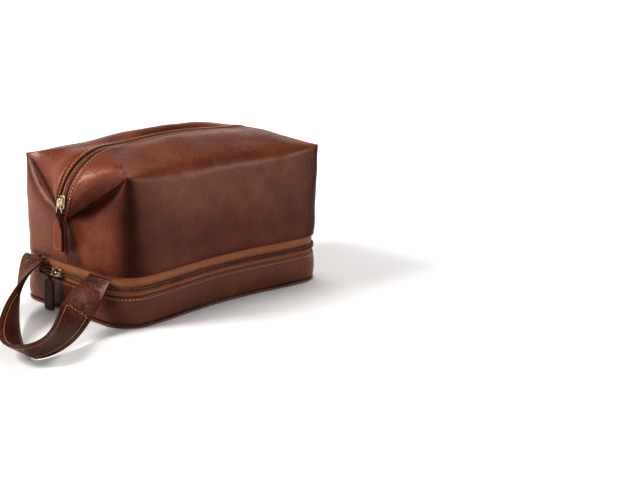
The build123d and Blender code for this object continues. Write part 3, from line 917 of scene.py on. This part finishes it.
def make_tray_zip(word, body, half, z_hidden, tape_node, coil_node, shift):
    """One half of the tray's zip: a tape with a faint roll along it, its coil, and the coil's stitches."""
    z = np.linspace(z_hidden, SPLIT + half * 0.2, 12)
    roll = 0.15 * np.cos(np.linspace(0, 2 * np.pi, 12))
    band = ring_band(np.linspace(*ZIP_ENDS, 380), TAPE_INSET + roll, z)
    if half > 0:
        band, z = band[:, ::-1], z[::-1]
    piece(word + "_tape", grid(band), zip_cloth, body, (tape_node,), thick=CLOTH,
          uv=flat_layout(measured(band[:, 0]), z))
    path, out = plan_line(np.linspace(*ZIP_ENDS, 1500), TAPE_INSET, SPLIT)
    turns = coil_row(path, out, half, 1.9, shift, 0.5)
    piece(word + "_coil", turns, coil_nylon, body, (coil_node,))
    thread = stitch_row(path + np.array([0, 0, half * 3.6]) + out * 0.05, out, TAPE_STITCH)
    piece(word + "_tape_thread", thread, coil_nylon, body)


make_tray_zip("tray_zip_lower", "tray", -1, 23.0, "tray_zip_tape", "tray_zip_coil", 0.0)
make_tray_zip("tray_zip_upper", "upper_bag", 1, 46.5, "body_zip_tape", "body_zip_coil", 0.36)


# ---------- sliders, rings and pulls
def placed(parts, origin, along, across, out):
    """Local shapes (along, across, out) put where a slider or pull sits."""
    v, f = joined(parts)
    return v @ np.stack([along, across, out]) + origin, f


def slider_parts(inner, outer):
    """A zip slider: two pointed plates with turned-down rails, the wedge between them, and an arched bridge.

    inner and outer are the heights of the two plates' facing sides above the tape.
    """
    thick = 1.15
    parts = [
        pillow((12.4, 9.0, thick), (0, 0, outer + thick / 2), 0.38, 0.30),
        pillow((12.0, 8.8, thick), (0, 0, inner - thick / 2), 0.38, 0.30),
        pillow((4.4, 0.9, outer - inner + 0.6), (-3.0, 0, (outer + inner) / 2), 0.5),
    ]
    sideways = np.array([0.0, 1.0, 0.0])
    for s in (-1, 1):
        rail = [(-5.2, s * 4.0, outer + 0.1), (-2, s * 4.05, outer + 0.1), (2, s * 3.5, outer + 0.1),
                (5.4, s * 2.9, outer + 0.1)]
        parts.append(tube(with_ends(spline(rail, np.linspace(0, 1, 9))), sideways, 0.8, 1.5))
    top = outer + thick
    arch = [(-4.6, 0, top - 0.5), (-4.4, 0, top + 1.6), (-3.0, 0, top + 3.1), (0, 0, top + 3.3),
            (3.0, 0, top + 3.0), (4.6, 0, top + 1.4), (4.8, 0, top - 0.5)]
    parts.append(tube(with_ends(spline(arch, np.linspace(0, 1, 22))), sideways, 3.0, 0.95, count=14))
    return parts


def ring_shape(reach, width, wire):
    """Closed wire in the x = 0 plane, hanging from the y axis: a rectangle with round corners."""
    c, s = rounded(56, 0.45)
    path = np.stack([0 * c, c * width / 2, s * reach / 2 - reach / 2], -1)
    return tube(path, np.array([1.0, 0.0, 0.0]), wire, wire, closed=True, power=0.8, count=12)


def pull_shape(width, length, thick):
    """Leather pull hanging from the y axis: a folded neck that widens to a flat plate with a round foot."""
    rows = 72
    k = np.linspace(0, 1, rows)
    down = -2.0 + (length + 5.2) * (1 - np.cos(np.pi * k)) / 2
    neck = smooth_step((down - 3.2) / 4.6)
    half = 1.75 + (width / 2 - 1.75) * neck
    end = np.clip((length + 3.2 - down) / 3.4, 0, 1)
    half = half * np.sqrt(np.clip(1 - (1 - end) ** 3.2, 0, 1))
    deep = 2.05 + (thick / 2 - 2.05) * smooth_step((down - 1.5) / 3.5)
    top = np.sqrt(np.clip(1 - np.clip(-down / 2.05, 0, 1) ** 2, 0, 1))
    deep = np.maximum(deep * top * np.clip((length + 3.25 - down) / 0.9, 0, 1) ** 0.4, 1e-3)
    half = np.maximum(half, 1e-3)
    c, s = rounded(40, 0.34)
    crown = 1 + 0.10 * np.cos(np.pi * s / 2)
    z = np.broadcast_to(-down[:, None], (rows, len(c)))
    return grid(np.stack([deep[:, None] * c * crown, half[:, None] * s, z], -1), wrap_v=True)


def both_edges(one_side, half_width):
    """Points down one edge, given as (share of the half width, height) pairs, and back up the other."""
    back = [(0, -half_width * y, z) for y, z in one_side[::-1]]
    return [(0, half_width * y, z) for y, z in one_side] + back


def pull_stitches(width, length, thick):
    """A line of stitches inside the edge of each face of a pull, open at the neck."""
    w, z0, z1 = width / 2 - 1.7, -8.0, -(length + 1.2)
    one_side = [(0.55, z0), (0.9, z0 - 0.8), (1, z0 - 3), (1, -20), (1, z1 + 2.4), (0.9, z1 + 0.4), (0.4, z1)]
    path = spline(both_edges(one_side, w), np.linspace(0, 1, 160))
    faces = [np.array([sign, 0.0, 0.0]) for sign in (-1, 1)]
    return joined([stitch_row(path + face * thick / 2 * 1.09, face, PULL_STITCH) for face in faces])


def turned_z(v, degrees):
    a = np.radians(degrees)
    c, s = np.cos(a), np.sin(a)
    return v @ np.array([[c, s, 0], [-s, c, 0], [0, 0, 1]])


RING_REACH, RING_WIDTH, RING_WIRE = 6.6, 6.2, 1.4
TAB_SIZE = (12.6, 30.0, 2.4)  # width, length and thickness of a pull
UNDER_SIZE = (11.2, 29.2, 1.6)  # the same for the top pull's second layer
PLATES = (-0.9, 2.4)  # heights of a slider's two plates above the tape
TOP_PULL_TURN, UNDER_TURN = 12, -42  # degrees that the top pull's two layers twist on their ring


def fitting(name, shape, material, body, node=None):
    """A closed metal or leather fitting."""
    piece(name, shape, material, body, (node,) if node else (), outward=True)


def fitting_seam(name, shape, thread, body):
    """The stitches on a leather fitting."""
    piece(name, shape, thread, body)


def make_sliders(top_pivot, low_pivot):
    lean = np.radians(11.6)
    out = np.array([-np.cos(lean), 0, np.sin(lean)])
    up = np.array([np.sin(lean), 0, np.cos(lean)])
    face = np.array([-ARC_X, 0, ARC_Z]) + out * (ARC_RADIUS - 2.4)
    shape = placed(slider_parts(*PLATES), face, up, np.cross(out, up), out)
    fitting("top_slider_body", shape, antique_metal, "top_slider", "top_slider")
    face = np.array([-HALF_LENGTH + 2.0, low_pivot[1], SPLIT])
    shape = placed(slider_parts(*PLATES), face, [0, -1.0, 0], [0, 0, 1.0], [-1.0, 0, 0])
    fitting("lower_slider_body", shape, antique_metal, "lower_slider", "lower_slider")
    v, f = ring_shape(RING_REACH, RING_WIDTH, RING_WIRE)
    fitting("top_ring", (v + top_pivot, f), antique_metal, "top_ring", "top_pull_ring")
    flat_v = v[:, ::-1] + low_pivot
    fitting("lower_ring", (flat_v, f), antique_metal, "lower_ring", "lower_pull_ring")


def make_pulls(top_hang, low_hang):
    v, f = pull_shape(*TAB_SIZE)
    seam_v, seam_f = pull_stitches(*TAB_SIZE)
    fitting("top_pull", (turned_z(v, TOP_PULL_TURN) + top_hang, f), pull_leather, "top_pull", "top_pull_tab")
    seam = (turned_z(seam_v, TOP_PULL_TURN) + top_hang, seam_f)
    fitting_seam("top_pull_stitching", seam, beige_thread, "top_pull")
    under_v, under_f = pull_shape(*UNDER_SIZE)
    spread = 5.6 * smooth_step(-under_v[:, 2] / 15)
    under_v = turned_z(under_v, UNDER_TURN) + top_hang + np.array([-1.8, -0.8, 0.2])
    under_v[:, 1] -= spread
    fitting("top_pull_under_layer", (under_v, under_f), dark_pull_leather, "top_pull")
    fitting("lower_pull", (v + low_hang, f), dark_pull_leather, "lower_pull", "lower_pull_tab")
    fitting_seam("lower_pull_stitching", (seam_v + low_hang, seam_f), pull_leather, "lower_pull")


def make_fittings():
    """Both sliders with their rings and pulls, hung where the frame has the rings."""
    low, high = span("top_pull_ring")
    top_pivot = np.array([(low[0] + high[0]) / 2, 0, high[2] - RING_WIRE / 2])
    low, high = span("lower_pull_ring")
    low_pivot = np.array([high[0] - RING_WIRE / 2, (low[1] + high[1]) / 2, (low[2] + high[2]) / 2])
    make_sliders(top_pivot, low_pivot)
    make_pulls(top_pivot - np.array([0, 0, RING_REACH]), low_pivot - np.array([RING_REACH, 0, 0]))


make_fittings()


def make_end_tab(name, sign):
    """Leather tongue over the end of the top zip: a soft plate with a round foot, stitched round its edge."""
    low, high = span(name)
    length, width, mid = high[2] - low[2], high[1] - low[1], (low[0] + high[0]) / 2
    k = np.linspace(0, 1, 60)
    down = length * (1 - np.cos(np.pi * k)) / 2
    foot = np.clip((length - down) / 4.5, 0, 1)
    half = width / 2 * np.sqrt(np.clip(1 - (1 - foot) ** 2.6, 0, 1))
    half = np.maximum(half * np.clip(down / 0.5, 0, 1) ** 0.4, 1e-3)
    deep = np.maximum(1.25 * np.clip(np.minimum(down, length - down) / 0.8, 0, 1) ** 0.4, 1e-3)
    c, s = rounded(36, 0.34)

    def bend(depth):
        return 0.9 * np.sin(np.pi * depth / length)

    x = mid + sign * (0.5 + bend(down)[:, None] + deep[:, None] * c * (1 + 0.1 * np.cos(np.pi * s / 2)))
    p = np.stack([x, half[:, None] * s, np.broadcast_to(high[2] - down[:, None], x.shape)], -1)
    fitting(name + "_leather", grid(p, wrap_v=True), pull_leather, "upper_bag", name)
    w, z0, z1 = width / 2 - 1.6, high[2] - 1.0, low[2] + 1.7
    one_side = [(1, z0), (1, z0 - 6), (1, z1 + 10), (1, z1 + 3), (0.8, z1 + 0.5)]
    line = both_edges(one_side, w)
    line.insert(len(one_side), (0, 0, z1 - 0.3))
    path = spline(line, np.linspace(0, 1, 200))
    path[:, 0] = mid + sign * (0.5 + bend(high[2] - path[:, 2]) + 1.25 * 1.085)
    seam = stitch_row(path, np.array([sign, 0.0, 0.0]), PULL_STITCH)
    fitting_seam(name + "_stitching", seam, beige_thread, "upper_bag")


make_end_tab("left_zip_end_tab", -1)
make_end_tab("right_zip_end_tab", 1)


# ---------- carrying loop
ROOT = np.array([-HALF_LENGTH - 1.4, 45.5, SEAM - 2.2])
LOOP = np.array([
    (ROOT[0], -ROOT[1], ROOT[2]),
    (ROOT[0] - 62.5, -ROOT[1], ROOT[2] - 51.5),
    (ROOT[0] - 45.8, -113.8, 49.2),
    (ROOT[0] - 240.5, -150, -27.7),
    (ROOT[0] - 14.1, ROOT[1], ROOT[2] - 25.2),
    (ROOT[0], ROOT[1], ROOT[2]),
])
LOOP_ROLL = np.radians([134.6, -25.8, -5.2])
STRAP_WIDTH = 27.5


def loop_frames(s):
    """Quintic Bezier line of the strap with its width and thickness directions.

    The strap rolls on to its edge between its sewn ends, by one, two and three half waves of roll.
    """
    back = 1 - s[:, None]
    k = np.arange(6)
    line = (np.array([1, 5, 10, 10, 5, 1.0]) * s[:, None] ** k * back ** (5 - k)) @ LOOP
    slope = np.array([1, 4, 6, 4, 1.0]) * s[:, None] ** k[:5] * back ** (4 - k[:5])
    ahead = unit(slope @ np.diff(LOOP, axis=0))
    side = unit(np.cross([0, 0, 1.0], ahead))
    down = -np.cross(ahead, side)
    roll = np.sin(np.pi * s[:, None] * np.array([1, 2, 3])) @ LOOP_ROLL
    wide = side * np.cos(roll)[:, None] + down * np.sin(roll)[:, None]
    return line, wide, np.cross(ahead, wide)


def strap_layer(first, last, count, width, near, far):
    """Flat strap with soft edges between two distances from the loop's middle line, closed at both ends."""
    s = with_ends(np.linspace(first, last, count))
    line, wide, thick = loop_frames(s)
    c, q = rounded(44, 0.3)
    size = np.ones(len(s))
    size[[0, -1]] = 1e-3
    across = c * width / 2 * size[:, None]
    depth = (near + far) / 2 + (far - near) / 2 * q * (1 + 0.10 * np.cos(np.pi / 2 * c)) * size[:, None]
    p = line[:, None] + wide[:, None] * across[..., None] + thick[:, None] * depth[..., None]
    return grid(p, wrap_v=True)


def strap_piece(name, shape, node):
    piece(name, shape, pebbled_leather, "carry_loop", (node,), outward=True)


strap_piece("carry_strap_outer", strap_layer(0, 1, 220, STRAP_WIDTH, 0.0, 1.4), "carry_strap")
strap_piece("carry_strap_inner", strap_layer(3 / 24, 20 / 24, 180, STRAP_WIDTH - 2.0, -1.1, 0.0),
            "carry_strap_lining")


def strap_stitching():
    """Two rows along the doubled middle and one across each of its ends, on both faces."""
    line, wide, thick = loop_frames(np.linspace(3.4 / 24, 19.6 / 24, 300))
    half = STRAP_WIDTH / 2 - 4.2
    parts = []
    for face, lift in ((1, 1.47), (-1, -1.17)):
        for offset in (-half, half):
            parts.append(stitch_row(line + wide * offset + thick * lift, thick * face, STRAP_STITCH))
        for k in (0, -1):
            cross = line[k] + wide[k] * np.linspace(-half, half, 30)[:, None] + thick[k] * lift
            parts.append(stitch_row(cross, thick[k] * face, STRAP_STITCH))
    return joined(parts)


piece("carry_strap_stitching", strap_stitching(), beige_thread, "carry_loop")

# ---------- boards that keep their CAD shape
for node in ("base_board", "divider_board", "divider_lining"):
    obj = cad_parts[node]
    obj.data.materials.clear()
    obj.data.materials.append(grey_board)
